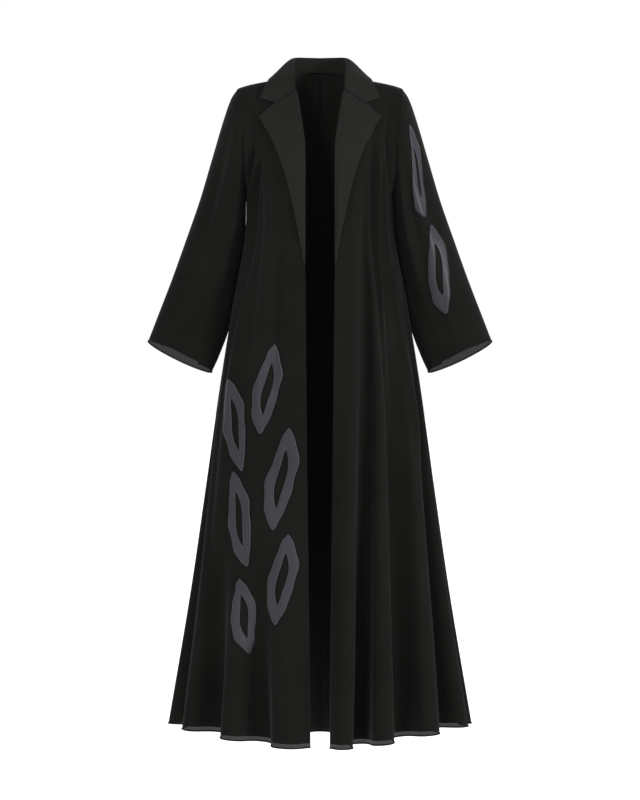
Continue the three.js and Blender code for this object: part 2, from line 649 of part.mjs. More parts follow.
function collar(name) {
  const outer = [];
  const inner = [];
  for (let r = 0; r <= COLLAR_ROUND; r += 1) {
    const round = mix(-1, 1, r / COLLAR_ROUND);
    const outerRow = [];
    const innerRow = [];
    for (const across of COLLAR_ACROSS) {
      const spot = collarPoint(round, across);
      const step = 0.01;
      const alongRound = collarPoint(clamp(round + step, -1, 1), across)
        .sub(collarPoint(clamp(round - step, -1, 1), across));
      const alongAcross = collarPoint(round, clamp(across + step, 0, 1))
        .sub(collarPoint(round, clamp(across - step, 0, 1)));
      const out = alongAcross.cross(alongRound).normalize();
      outerRow.push(spot);
      innerRow.push(spot.clone().addScaledVector(out, -FACED_CLOTH));
    }
    outer.push(outerRow);
    inner.push(innerRow);
  }
  return meshOf(name, clothBody(outer, inner, false), FACED_BLACK);
}

// Outline of a leaf at a station: across is -1 to 1 at the outer edge, and the open centre is smaller.
function leafRing(leaf, place) {
  const turnAt = 2 * Math.PI * place;
  const along = Math.cos(turnAt);
  const bulge = Math.sign(Math.sin(turnAt)) * Math.abs(Math.sin(turnAt)) ** 1.5;
  const sway = 0.16 * Math.sin(Math.PI * along);
  const rim = { along: (leaf.length / 2) * along, across: (leaf.width / 2) * (bulge + sway) };
  const open = { along: 0.58 * rim.along, across: (leaf.width / 2) * (0.34 * bulge + 0.6 * sway) };
  return { rim, open };
}

const frontGrids = new Map();

// The same point on the flat faces of a front panel, whose rows and columns are those of its body.
function onFrontFaces(side, girth, level) {
  if (!frontGrids.has(side)) {
    frontGrids.set(side, panelLevels.map((at) =>
      Array.from({ length: PANEL_COLUMNS + 1 }, (_, c) => bodyPoint(side, false, c / PANEL_COLUMNS, at))));
  }
  const grid = frontGrids.get(side);
  const c = clamp(Math.floor(girth * PANEL_COLUMNS), 0, PANEL_COLUMNS - 1);
  let r = 0;
  while (r < panelLevels.length - 2 && level > panelLevels[r + 1]) r += 1;
  const u = girth * PANEL_COLUMNS - c;
  const v = (level - panelLevels[r]) / (panelLevels[r + 1] - panelLevels[r]);
  const near = grid[r][c].clone();
  const far = grid[r + 1][c + 1];
  const turn = v > u ? grid[r + 1][c] : grid[r][c + 1];
  const [first, second] = v > u ? [v, u] : [u, v];
  return near.multiplyScalar(1 - first).addScaledVector(turn, first - second).addScaledVector(far, second);
}

// A leaf with an open centre, laid on a surface whose local lengths are given.
function leafBody(name, leaf, place) {
  const outer = [];
  const inner = [];
  const count = 2 * LEAF_STATIONS;
  for (const part of ['rim', 'open']) {
    const outerRow = [];
    const innerRow = [];
    for (let k = 0; k < count; k += 1) {
      const { along, across } = leafRing(leaf, k / count)[part];
      const right = across * Math.cos(leaf.turn) + along * Math.sin(leaf.turn);
      const up = along * Math.cos(leaf.turn) - across * Math.sin(leaf.turn);
      const { spot, out } = place(right, up);
      outerRow.push(spot.clone().addScaledVector(out, LEAF_GAP + LEAF_CLOTH));
      innerRow.push(spot.clone().addScaledVector(out, LEAF_GAP));
    }
    outer.push(outerRow);
    inner.push(innerRow);
  }
  return meshOf(name, clothBody(outer, inner, true), SATIN_GREY);
}

function skirtLeaf(name, leaf) {
  const side = -1;
  const surface = (girth, level) => bodyPoint(side, false, girth, level);
  const place = (right, up) => {
    const share = leaf.share - up / (HEM_DROP_FRONT - UNDERARM_DROP);
    const girth = leaf.girth - right / ovalAt(share, 0.5).total;
    const spot = onFrontFaces(side, girth, 1 + share);
    const out = outward(surface, girth, 1 + share, 0, 1, 0, 2, vec(spot.x, spot.y - 20, 0));
    return { spot, out };
  };
  return leafBody(name, leaf, place);
}

function sleeveLeaf(name, leaf) {
  const side = 1;
  const lengthOfSleeve = 480;
  const place = (right, up) => {
    const share = leaf.share - up / lengthOfSleeve;
    const radius = mix(85, 72, share);
    const angle = leaf.angle - right / radius;
    return { spot: sleevePoint(side, angle, share), out: sleeveOut(side, angle, share) };
  };
  return leafBody(name, leaf, place);
}

const group = new THREE.Group();
group.name = 'abaya_cloak';
group.add(
  panel('front_right', -1, false),
  panel('front_left', 1, false),
  panel('back_right', -1, true),
  panel('back_left', 1, true),
  sleeve('sleeve_right', -1),
  sleeve('sleeve_left', 1),
  collar('collar'),
  lapel('lapel_right', -1),
  lapel('lapel_left', 1),
  ...SKIRT_LEAVES.map((leaf, order) => skirtLeaf(`leaf_${order + 1}`, leaf)),
  ...SLEEVE_LEAVES.map((leaf, order) => sleeveLeaf(`sleeve_leaf_${order + 1}`, leaf)),
);

export default group;
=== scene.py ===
"""An open-front black abaya cloak with notched lapels and satin leaves, filled out and empty."""
import json
import math

import bpy
import numpy as np
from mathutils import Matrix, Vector


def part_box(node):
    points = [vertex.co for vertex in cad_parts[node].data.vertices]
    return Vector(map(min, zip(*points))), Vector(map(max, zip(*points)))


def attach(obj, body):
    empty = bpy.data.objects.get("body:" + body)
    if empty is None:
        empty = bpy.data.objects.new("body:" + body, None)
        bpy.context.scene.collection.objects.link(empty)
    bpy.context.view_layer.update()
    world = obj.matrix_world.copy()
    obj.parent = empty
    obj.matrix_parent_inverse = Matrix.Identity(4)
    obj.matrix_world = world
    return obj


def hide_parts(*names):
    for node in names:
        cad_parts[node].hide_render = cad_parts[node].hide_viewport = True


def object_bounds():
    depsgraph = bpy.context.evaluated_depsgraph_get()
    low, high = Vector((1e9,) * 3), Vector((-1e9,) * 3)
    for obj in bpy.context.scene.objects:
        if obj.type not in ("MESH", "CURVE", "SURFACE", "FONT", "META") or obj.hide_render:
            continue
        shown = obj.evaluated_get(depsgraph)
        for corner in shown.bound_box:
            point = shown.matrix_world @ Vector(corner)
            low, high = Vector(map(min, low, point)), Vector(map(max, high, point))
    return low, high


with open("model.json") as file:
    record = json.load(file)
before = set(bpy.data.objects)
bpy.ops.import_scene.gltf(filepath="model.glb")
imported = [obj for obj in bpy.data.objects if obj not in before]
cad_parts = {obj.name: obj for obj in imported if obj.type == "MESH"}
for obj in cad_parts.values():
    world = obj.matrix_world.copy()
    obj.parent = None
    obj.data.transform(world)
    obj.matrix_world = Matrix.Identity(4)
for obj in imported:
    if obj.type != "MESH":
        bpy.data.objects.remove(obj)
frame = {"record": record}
CAD_LOW, CAD_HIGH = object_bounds()

# ---------------------------------------------------------------- sizes
# Tables are in millimetres of the garment as designed; UNIT turns them into the frame's metres.
# A drop is how far below the shoulder line a place is.
HEM_DROP_FRONT = 1395.0
ORIGIN = np.array(frame["record"]["mounts"][0]["pos_m"], float)
UNIT = (ORIGIN[2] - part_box("front_left")[0][2]) / HEM_DROP_FRONT

UNDERARM_DROP = 245.0
HEM_DROP_BACK = 1400.0
HEM_RISE_SIDE = 36.0
NECK = dict(x=62.0, y=2.0, drop=-6.0)
SHOULDER = dict(x=173.0, y=2.0, drop=18.0)
BACK_NECK = dict(y=62.0, drop=-20.0)
BACK_NECK_GIRTH = 1.56
ARMHOLE_DEPTH = 62.0
FRONT_EDGE_AT_HEM = 21.0
CLOTH_THICK = 0.7
FACED_THICK = 1.1
SATIN_THICK = 0.5
HEM_ROLL_RADIUS = 1.6
SLEEVE_CLEARANCE = 2.5
SLEEVE_LENGTH = 480.0
SLEEVE_WIDE_AT_TOP, SLEEVE_WIDE_AT_CUFF = 85.0, 72.0
JUST_PAST_SIDE = 1.000001


def table(columns, *rows):
    """Columns of a short table as arrays."""
    return {name: np.array([row[k] for row in rows], float) for k, name in enumerate(columns.split())}


BODY = table("share width front back",
             (0.00, 156, 118, 112),
             (0.08, 158, 122, 112),
             (0.19, 181, 132, 121),
             (0.35, 210, 147, 136),
             (0.54, 240, 162, 153),
             (0.75, 274, 176, 169),
             (1.00, 321, 190, 186))
FRONT_EDGE = table("drop x y",
                   (-6, 62, 2),
                   (10, 56, -34),
                   (28, 50.5, -56),
                   (60, 45, -76),
                   (100, 39, -93),
                   (140, 33.5, -104),
                   (190, 32, -111),
                   (245, 32, -115.5))
# Girth runs 0 front edge, 1 side seam, 2 centre back. Depth is how far in the cloth stands at the hem.
FOLDS_LEFT = table("top hem depth start",
                   (-0.10, -0.06, 46, 0.20),
                   (0.18, 0.075, 0, 0.00),
                   (0.38, 0.18, 78, 0.00),
                   (0.47, 0.30, 0, 0.00),
                   (0.58, 0.45, 72, 0.00),
                   (0.90, 0.595, 0, 0.10),
                   (0.94, 0.73, 64, 0.15),
                   (0.97, 0.86, 0, 0.30),
                   (0.985, 0.93, 26, 0.50),
                   (1.00, 1.00, 0, 0.30),
                   (1.14, 1.12, 56, 0.30),
                   (1.26, 1.24, 0, 0.20),
                   (1.38, 1.36, 66, 0.12),
                   (1.50, 1.48, 5, 0.10),
                   (1.62, 1.61, 58, 0.18),
                   (1.75, 1.74, 0, 0.10),
                   (1.88, 1.87, 52, 0.30),
                   (2.00, 2.00, 4, 0.10),
                   (2.13, 2.13, 52, 0.30))
FOLDS_RIGHT = table("top hem depth start",
                    (-0.12, -0.10, 58, 0.50),
                    (0.26, 0.152, 0, 0.40),
                    (0.44, 0.30, 70, 0.66),
                    (0.60, 0.46, 0, 0.35),
                    (0.76, 0.60, 62, 0.62),
                    (0.90, 0.745, 0, 0.20),
                    (0.96, 0.88, 40, 0.40),
                    (1.00, 1.00, 0, 0.30),
                    (1.13, 1.13, 58, 0.25),
                    (1.26, 1.25, 4, 0.20),
                    (1.38, 1.37, 62, 0.14),
                    (1.50, 1.50, 0, 0.10),
                    (1.63, 1.62, 54, 0.20),
                    (1.75, 1.75, 3, 0.10),
                    (1.88, 1.88, 50, 0.30),
                    (2.00, 2.00, 4, 0.10),
                    (2.13, 2.13, 50, 0.30))
# Creases drawn over the folds. Level runs 0 shoulder, 1 underarm, 2 hem. Height below 0 is a trough.
CREASES = {
    (1, 0): table("girth0 level0 girth1 level1 wide height",
                  (0.53, 0.60, 0.52, 1.45, 0.032, 13),
                  (0.47, 0.62, 0.46, 1.40, 0.035, -9),
                  (0.58, 0.62, 0.80, 1.60, 0.034, 10),
                  (0.86, 0.10, 0.80, 1.10, 0.035, 8),
                  (0.93, 0.10, 0.90, 1.05, 0.030, -8),
                  (0.76, 0.15, 0.70, 0.95, 0.035, -5),
                  (0.72, 0.45, 0.86, 1.30, 0.045, -5),
                  (0.40, 0.70, 0.33, 1.40, 0.040, -6),
                  (0.12, 1.15, 0.08, 2.10, 0.050, 4),
                  (0.70, 1.25, 0.52, 2.10, 0.030, 5),
                  (0.28, 1.50, 0.24, 2.10, 0.020, 4)),
    (-1, 0): table("girth0 level0 girth1 level1 wide height",
                   (0.56, 0.60, 0.88, 1.25, 0.030, 11),
                   (0.50, 0.66, 0.80, 1.35, 0.040, -7),
                   (0.50, 0.60, 0.42, 1.45, 0.060, 5),
                   (0.86, 0.08, 0.79, 1.05, 0.034, 8),
                   (0.93, 0.10, 0.90, 1.10, 0.030, -8),
                   (0.75, 0.20, 0.72, 0.90, 0.035, -5),
                   (0.72, 0.60, 0.90, 1.30, 0.050, -5),
                   (0.30, 1.05, 0.24, 1.60, 0.050, -5),
                   (0.74, 1.05, 0.66, 1.75, 0.045, 6),
                   (0.84, 1.20, 0.70, 2.10, 0.035, 5),
                   (0.20, 1.50, 0.12, 2.10, 0.040, 4)),
    (1, 1): table("girth0 level0 girth1 level1 wide height",
                  (1.90, 0.25, 1.84, 1.40, 0.040, 5),
                  (1.70, 0.35, 1.62, 1.30, 0.045, 6),
                  (1.40, 0.45, 1.52, 1.35, 0.050, -6),
                  (1.15, 0.60, 1.08, 1.25, 0.040, 6),
                  (1.55, 1.20, 1.54, 2.10, 0.025, 4)),
    (-1, 1): table("girth0 level0 girth1 level1 wide height",
                   (1.92, 0.25, 1.88, 1.50, 0.040, 5),
                   (1.66, 0.30, 1.60, 1.35, 0.050, 6),
                   (1.42, 0.50, 1.50, 1.30, 0.045, -6),
                   (1.18, 0.55, 1.10, 1.30, 0.040, 6),
                   (1.68, 1.20, 1.68, 2.10, 0.025, 4)),
}
SLEEVE = table("share ox od ix id depth y",
               (0.000, 173, 18, 156, 245, 62, 0),
               (0.050, 188, 40, 156.5, 264, 64, 3),
               (0.130, 204.5, 85, 157, 295, 65, 9),
               (0.285, 230, 169, 160, 354, 63, 19),
               (0.440, 255.5, 254, 171, 412, 60, 24),
               (0.600, 285, 339, 182, 472, 57, 22),
               (0.757, 315, 424, 196, 530, 54, 15),
               (0.915, 347, 508, 217, 590, 51, 8),
               (1.000, 364, 553, 229, 618, 50, 4))
CUFF_SLANT = 9.5
SLEEVE_FOLDS = table("angle wide height start end",
                     (0.95, 0.32, -9, 0.0, 0.55),
                     (1.35, 0.22, 6, 0.02, 0.75),
                     (2.05, 0.16, 6, 0.03, 0.60),
                     (2.45, 0.18, -6, 0.04, 0.80),
                     (1.68, 0.14, -4, 0.05, 0.50),
                     (2.2, 0.40, -7, 0.5, 1.1),
                     (1.75, 0.20, -4, 0.35, 1.1),
                     (4.3, 0.45, -9, 0.0, 0.8),
                     (5.4, 0.40, -6, 0.4, 1.1),
                     (3.4, 0.30, 4, 0.3, 1.0))
LAPEL_EDGE = table("drop x",
                   (85, 128),
                   (146, 94),
                   (222, 67.5),
                   (316, 46.8),
                   (390, 34.5))
GORGE = dict(x=50.5, drop=28.0)
NOTCH = dict(x=94.0, drop=56.0)
COLLAR_TIP = dict(x=126.0, drop=44.0)
COLLAR = table("station sx sy su fx fy fu ex ey eu",
               (0, 0, 60, 21, 0, 57, 53, 0, 82, -8),
               (1, 31, 53, 19, 30, 51, 53, 44, 78, -5),
               (2, 52, 34, 14, 50, 33, 51, 84, 52, 2),
               (3, 60, 6, 10, 57, 4, 44, 104, 8, 6),
               (4, 57, -24, 3, 56, -24, 24, 113, -24, -9),
               (5, 53, -44, -10, 53, -48, 0, 120, -44, -28),
               (6, 50.5, -58, -24, 50.5, -61, -26, 126, -60, -44))
SKIRT_LEAVES = table("girth share turn length width",
                     (0.33, 0.36, 0.10, 190, 52),
                     (0.60, 0.43, -0.30, 200, 54),
                     (0.19, 0.52, 0.14, 215, 58),
                     (0.49, 0.60, -0.26, 200, 56),
                     (0.17, 0.70, 0.12, 190, 54),
                     (0.42, 0.775, -0.16, 155, 48))
SLEEVE_LEAVES = table("angle share turn length width",
                      (1.10, 0.24, 0.20, 160, 54),
                      (1.34, 0.63, 0.16, 170, 56))


# ---------------------------------------------------------------- small helpers
def mix(a, b, f):
    """Part of the way from a to b."""
    return a + (b - a) * f


def ease(f):
    """A share from 0 to 1 with a gentle start and end."""
    f = np.clip(f, 0, 1)
    return f * f * (3 - 2 * f)


def smooth(tab, key, at, column):
    """Smooth value of a table's column at places along its key column."""
    keys, values = tab[key], tab[column]
    at = np.asarray(at, float)
    i = np.clip(np.searchsorted(keys, at, side="right") - 1, 0, len(keys) - 2)
    before, after = np.maximum(i - 1, 0), np.minimum(i + 2, len(keys) - 1)
    span = keys[i + 1] - keys[i]
    f = np.clip((at - keys[i]) / span, 0, 1)
    slope_a = (values[i + 1] - values[before]) / (keys[i + 1] - keys[before]) * span
    slope_b = (values[after] - values[i]) / (keys[after] - keys[i]) * span
    return ((2 * f**3 - 3 * f**2 + 1) * values[i] + (f**3 - 2 * f**2 + f) * slope_a
            + (3 * f**2 - 2 * f**3) * values[i + 1] + (f**3 - f**2) * slope_b)


def vec(x, y, z):
    """Points from separate x, y and z."""
    x, y, z = np.broadcast_arrays(np.asarray(x, float), y, z)
    return np.stack([x, y, z], -1)


def unit(v):
    return v / np.maximum(np.linalg.norm(v, axis=-1, keepdims=True), 1e-9)


def curve(start, start_pull, end, end_pull, f):
    """A curve between two points that leaves and arrives along the two pulls."""
    f = np.asarray(f)[..., None]
    return ((2 * f**3 - 3 * f**2 + 1) * start + (f**3 - 2 * f**2 + f) * start_pull
            + (3 * f**2 - 2 * f**3) * end + (f**3 - f**2) * end_pull)


# ---------------------------------------------------------------- the cloak's form
OVAL_SHARES = np.linspace(0, 1, 161)
OVAL_GIRTHS = np.linspace(0, 1, 121)


def oval_tables(back):
    """For each share: the angle at each girth of a quarter, and the quarter's length."""
    angles, totals = [], []
    for share in OVAL_SHARES:
        a = float(smooth(BODY, "share", share, "width"))
        b = float(smooth(BODY, "share", share, "back" if back else "front"))
        edge = mix(FRONT_EDGE["x"][-1], FRONT_EDGE_AT_HEM, share)
        turn = np.linspace(*((math.pi / 2, math.pi) if back else (math.asin(edge / a), math.pi / 2)), 241)
        middle = (turn[1:] + turn[:-1]) / 2
        steps = np.hypot(a * np.cos(middle), b * np.sin(middle)) * np.diff(turn)
        lengths = np.concatenate([[0], np.cumsum(steps)])
        angles.append(np.interp(OVAL_GIRTHS * lengths[-1], lengths, turn))
        totals.append(lengths[-1])
    return np.array(angles), np.array(totals)


OVALS = [oval_tables(False), oval_tables(True)]


def quarter_length(share, back):
    return np.interp(share, OVAL_SHARES, OVALS[int(back)][1])


def oval_at(share, girth):
    """Points and outward directions on the body's oval."""
    share, girth = np.broadcast_arrays(np.clip(share, 0, 1), np.clip(girth, 0, 2))
    back = girth > 1
    local = np.where(back, girth - 1, girth)
    si = np.clip(share * (len(OVAL_SHARES) - 1), 0, len(OVAL_SHARES) - 1.000001)
    gi = np.clip(local * (len(OVAL_GIRTHS) - 1), 0, len(OVAL_GIRTHS) - 1.000001)
    s0, g0 = si.astype(int), gi.astype(int)
    sf, gf = si - s0, gi - g0
    angle = np.zeros(share.shape)
    for which in (0, 1):
        angles = OVALS[which][0]
        upper = mix(angles[s0, g0], angles[s0, g0 + 1], gf)
        lower = mix(angles[s0 + 1, g0], angles[s0 + 1, g0 + 1], gf)
        angle = np.where(back == bool(which), upper * (1 - sf) + lower * sf, angle)
    a = smooth(BODY, "share", share, "width")
    b = np.where(back, smooth(BODY, "share", share, "back"), smooth(BODY, "share", share, "front"))
    return (vec(a * np.sin(angle), -b * np.cos(angle), 0),
            unit(vec(np.sin(angle) / a, -np.cos(angle) / b, 0)))


def hem_drop(girth):
    """How low the hem hangs, higher at the side seams."""
    level = mix(HEM_DROP_FRONT, HEM_DROP_BACK, np.clip(girth - 0.5, 0, 1))
    return level - HEM_RISE_SIDE * np.sin(math.pi / 2 * np.clip(girth, 0, 2)) ** 2


def skirt_point(folds, girth, share):
    """Where the cloth hangs below the underarm."""
    girth, share = np.broadcast_arrays(np.asarray(girth, float), np.asarray(share, float))
    reach = np.clip(share, 0, 1) ** 0.85
    places = folds["top"] + (folds["hem"] - folds["top"]) * reach[..., None]
    growth = np.clip((share[..., None] - folds["start"]) / (1 - folds["start"]), 0, 1)
    depths = folds["depth"] * growth
    i = np.clip((girth[..., None] >= places).sum(-1) - 1, 0, len(folds["top"]) - 2)[..., None]
    start, end = np.take_along_axis(places, i, -1)[..., 0], np.take_along_axis(places, i + 1, -1)[..., 0]
    d0, d1 = np.take_along_axis(depths, i, -1)[..., 0], np.take_along_axis(depths, i + 1, -1)[..., 0]
    f = np.clip((girth - start) / (end - start), 0, 1)
    depth = mix(d0, d1, (1 - np.cos(math.pi * f)) / 2)
    total = np.where(girth > 1, quarter_length(share, True), quarter_length(share, False))
    steep = np.abs(d0 - d1) / (2 * (end - start) * total)
    overhang = np.minimum(0.62, steep**2)
    at_edge = np.clip(np.minimum(girth, 2 - girth) / 0.05, 0, 1)
    shift = (end - start) * overhang * at_edge * np.sin(2 * math.pi * f) / math.pi
    point, out = oval_at(share, girth + shift)
    spot = point - out * depth[..., None]
    spot[..., 2] = -mix(UNDERARM_DROP, hem_drop(girth), share)
    return spot


def armhole(angle):
    """The armhole seam: angle 0 at the shoulder, a half turn at the underarm."""
    along = (1 - np.cos(angle)) / 2
    return vec(mix(SHOULDER["x"], BODY["width"][0], along),
               -ARMHOLE_DEPTH * np.sin(angle) + SHOULDER["y"] * (1 - along),
               -mix(SHOULDER["drop"], UNDERARM_DROP, along))


def shoulder_seam(f):
    return vec(mix(NECK["x"], SHOULDER["x"], f), mix(NECK["y"], SHOULDER["y"], f),
               -mix(NECK["drop"], SHOULDER["drop"] - 4, f) - 4 * f**6)


def back_neckline(f):
    turn = math.pi / 2 * f
    return vec(NECK["x"] * np.cos(turn), mix(NECK["y"], BACK_NECK["y"], np.sin(turn)),
               -mix(NECK["drop"], BACK_NECK["drop"], np.sin(turn)))


def top_edge(girth):
    """The upper edge of a panel: the shoulder seam, then the back of the neck."""
    seam = np.where(girth <= 1, girth, 1 - (girth - 1) / (BACK_NECK_GIRTH - 1))
    neck = np.clip((girth - BACK_NECK_GIRTH) / (2 - BACK_NECK_GIRTH), 0, 1)
    return np.where((girth < BACK_NECK_GIRTH)[..., None], shoulder_seam(np.clip(seam, 0, 1)),
                    back_neckline(neck))


def front_edge(level):
    drop = mix(FRONT_EDGE["drop"][0], UNDERARM_DROP, level)
    return vec(smooth(FRONT_EDGE, "drop", drop, "x"), smooth(FRONT_EDGE, "drop", drop, "y"), -drop)


def yoke_point(folds, back, girth, level):
    """Where the cloth lies between the shoulder seam and the underarm."""
    def column(at):
        end = skirt_point(folds, at, 0 * at)
        end_pull = (skirt_point(folds, at, 0 * at + 0.04) - end) * 5.2
        start_pull = vec(0, 95, -70) if back else vec(0, -130, -80)
        return curve(top_edge(at), start_pull, end, end_pull, level)
    spot = column(girth)
    angle = np.arccos(1 - 2 * level) * (-1 if back else 1)
    near = 2 - girth if back else girth
    edge = column(np.full(girth.shape, JUST_PAST_SIDE if back else 1.0))
    spot = spot + (armhole(angle) - edge) * (near**3)[..., None]
    if not back:
        spot = spot + (front_edge(level) - column(0 * girth)) * ((1 - girth) ** 3)[..., None]
    return spot


def body_form(side, back, girth, level):
    """The cloth's face before its creases, on one side of the body."""
    folds = FOLDS_LEFT if side > 0 else FOLDS_RIGHT
    girth, level = np.broadcast_arrays(np.asarray(girth, float), np.asarray(level, float))
    upper = yoke_point(folds, back, girth, np.clip(level, 0, 1))
    lower = skirt_point(folds, girth, np.clip(level - 1, 0, 1))
    spot = np.where((level < 1)[..., None], upper, lower)
    return spot * np.array([side, 1, 1])


def crease_height(side, back, girth, level):
    """How far the listed creases stand out, in millimetres."""
    tab = CREASES[(side, int(back))]
    height = np.zeros(np.broadcast(girth, level).shape)
    for g0, l0, g1, l1, wide, tall in zip(*tab.values()):
        f = (level - l0) / (l1 - l0)
        on = (f > 0) & (f < 1)
        off = (girth - mix(g0, g1, f) - 0.01 * np.sin(5 * level + 9 * g0)) / wide
        along = np.sin(math.pi * np.clip(f, 0, 1)) ** 0.8
        height = height + np.where(on, tall * along * np.exp(-off * off), 0)
    return height


def wander(side, back, girth, level):
    """Small unevenness of hanging cloth, in millimetres."""
    phase = 1.7 * side + 3.1 * back
    long_waves = (1.5 * np.sin(17 * girth + 2.1 * level + phase)
                  + 0.9 * np.sin(31 * girth - 1.6 * level + 2 * phase)
                  + 0.5 * np.sin(9 * level + 6 * girth + phase))
    return long_waves * ease(level / 0.8) * np.clip(np.minimum(girth if not back else 2 - girth, 1) * 6, 0, 1)


def body_point(side, back, girth, level):
    """The cloth's face with its creases."""
    girth, level = np.broadcast_arrays(np.asarray(girth, float), np.asarray(level, float))
    spot = body_form(side, back, girth, level)
    _, out = oval_at(np.clip(level - 1, 0, 1), girth)
    out = out * np.array([side, 1, 1])
    # Creases die out at the seams, so that two panels meet.
    seam = np.clip(np.abs(girth - 1) / 0.08, 0, 1) * (np.clip((2 - girth) / 0.06, 0, 1) if back else 1)
    height = (crease_height(side, back, girth, level) + wander(side, back, girth, level)) * seam
    if not back:
        height = height * ease((girth - np.interp(level, COVERED_LEVEL, COVERED_GIRTH)) / 0.07)
    return spot + out * (height * ease(level / 0.35))[..., None]


def outward(surface, u, v, hint, limits):
    """The surface's outward direction, on the side that the hint points to."""
    step = 0.003
    (u0, u1), (v0, v1) = limits
    along_u = surface(np.clip(u + step, u0, u1), v) - surface(np.clip(u - step, u0, u1), v)
    along_v = surface(u, np.clip(v + step, v0, v1)) - surface(u, np.clip(v - step, v0, v1))
    out = unit(np.cross(along_u, along_v))
    return out * np.where((out * hint).sum(-1) < 0, -1, 1)[..., None]


def front_at(side, x, drop):
    """Girth and level on a front panel behind places seen from the front."""
    x, drop = np.broadcast_arrays(np.asarray(x, float), np.asarray(drop, float))
    girth, level = np.full(x.shape, 0.3), np.clip(drop / UNDERARM_DROP, 0.1, 1.3)
    for _ in range(16):
        spot = body_form(side, False, girth, level)
        du = (body_form(side, False, girth + 0.01, level) - spot) / 0.01
        dv = (body_form(side, False, girth, level + 0.01) - spot) / 0.01
        dx, dz = side * x - spot[..., 0], -drop - spot[..., 2]
        det = du[..., 0] * dv[..., 2] - dv[..., 0] * du[..., 2]
        girth = np.clip(girth + 0.8 * (dx * dv[..., 2] - dv[..., 0] * dz) / det, 0, 1)
        level = np.clip(level + 0.8 * (du[..., 0] * dz - dx * du[..., 2]) / det, 0, 2)
    return girth, level


# The cloth stays flat under the lapels: how far round they cover it at each level.
COVERED_GIRTH, COVERED_LEVEL = front_at(1, LAPEL_EDGE["x"], LAPEL_EDGE["drop"])
COVERED_GIRTH = np.append(COVERED_GIRTH + 0.03, -0.08)
COVERED_LEVEL = np.append(COVERED_LEVEL, COVERED_LEVEL[-1] + 0.12)


def lifted_front(side, x, drop, lift, creased):
    """Points that lie off a front panel, and its outward direction there."""
    girth, level = front_at(side, x, drop)

    def surface(u, v):
        return body_point(side, False, u, v) if creased else body_form(side, False, u, v)
    spot = surface(girth, level)
    hint = spot * np.array([1, 1, 0]) + np.array([0, -20, 40])
    out = outward(surface, girth, level, hint, ((0, 1), (0, 2)))
    return spot + out * np.asarray(lift)[..., None], out


def sleeve_point(side, angle, share):
    """The sleeve's face: share 0 at the armhole, 1 at the cuff, kept clear of the body."""
    angle, share = np.broadcast_arrays(np.asarray(angle, float), np.asarray(share, float))
    at = {name: smooth(SLEEVE, "share", share, name) for name in ("ox", "od", "ix", "id", "depth", "y")}
    across = (1 - np.cos(angle)) / 2
    spot = vec(mix(at["ox"], at["ix"], across), at["y"] - at["depth"] * np.sin(angle),
               -mix(at["od"], at["id"], across))
    spot = np.where((share <= 0)[..., None], armhole(angle), spot)
    middle = vec((at["ox"] + at["ix"]) / 2, at["y"], -(at["od"] + at["id"]) / 2)
    out = unit(spot - middle)
    for centre, wide, tall, start, end in zip(*SLEEVE_FOLDS.values()):
        f = (share - start) / (end - start)
        off = np.sin((angle - centre) / 2) / math.sin(wide / 2)
        along = np.sin(math.pi * np.clip(f, 0, 1))
        height = np.where((f > 0) & (f < 1), tall * along * np.exp(-off * off), 0)
        spot = spot + out * height[..., None]
    spot[..., 2] -= CUFF_SLANT * np.sin(angle) * np.clip((share - 0.75) / 0.25, 0, 1) ** 2
    level = (-spot[..., 2] - UNDERARM_DROP) / (HEM_DROP_FRONT - HEM_RISE_SIDE - UNDERARM_DROP)
    inside = np.clip(level, 0, 1)
    a = smooth(BODY, "share", inside, "width")
    b = np.where(spot[..., 1] > 0, smooth(BODY, "share", inside, "back"),
                 smooth(BODY, "share", inside, "front"))
    clear = a * np.sqrt(np.maximum(0, 1 - (spot[..., 1] / b) ** 2)) + SLEEVE_CLEARANCE
    near = np.clip((level + 0.03) / 0.03, 0, 1)
    pushed = np.maximum(spot[..., 0], mix(spot[..., 0], clear, near))
    spot[..., 0] = np.where(share > 0, pushed, spot[..., 0])
    return spot * np.array([side, 1, 1])


def sleeve_out(side, angle, share):
    step = 0.01
    turned = sleeve_point(side, angle + step, share) - sleeve_point(side, angle - step, share)
    down = (sleeve_point(side, angle, np.minimum(1, share + step))
            - sleeve_point(side, angle, np.maximum(0.001, share - step)))
    out = unit(np.cross(turned, down))
    hint = sleeve_point(side, angle, share) - sleeve_point(side, angle + math.pi, share)
    return out * np.where((out * hint).sum(-1) < 0, -1, 1)[..., None]


# ---------------------------------------------------------------- meshes
def add_mesh(name, points, faces, material):
    mesh = bpy.data.meshes.new(name)
    mesh.from_pydata((points * UNIT + ORIGIN).tolist(), [], faces)
    mesh.validate()
    mesh.update()
    mesh.polygons.foreach_set("use_smooth", [True] * len(mesh.polygons))
    obj = bpy.data.objects.new(name, mesh)
    bpy.context.scene.collection.objects.link(obj)
    obj.data.materials.append(material)
    return obj


def grid_faces(rows, columns, looped=False):
    faces = []
    for r in range(rows - 1):
        for c in range(columns if looped else columns - 1):
            d = (c + 1) % columns
            faces.append((r * columns + c, r * columns + d,
                          (r + 1) * columns + d, (r + 1) * columns + c))
    return faces


def cloth_grid(name, points, out, material, thick, looped=False):
    """A sheet over a grid of points, given its real thickness inwards."""
    rows, columns = points.shape[:2]
    obj = add_mesh(name, points.reshape(-1, 3), grid_faces(rows, columns, looped), material)
    r, c = rows // 2, columns // 2
    normal = np.cross(points[r, c + 1] - points[r, c], points[r + 1, c] - points[r, c])
    if float(normal @ out[r, c]) < 0:
        obj.data.flip_normals()
    solid = obj.modifiers.new("thickness", "SOLIDIFY")
    solid.thickness = thick * UNIT
    solid.offset = -1
    return obj


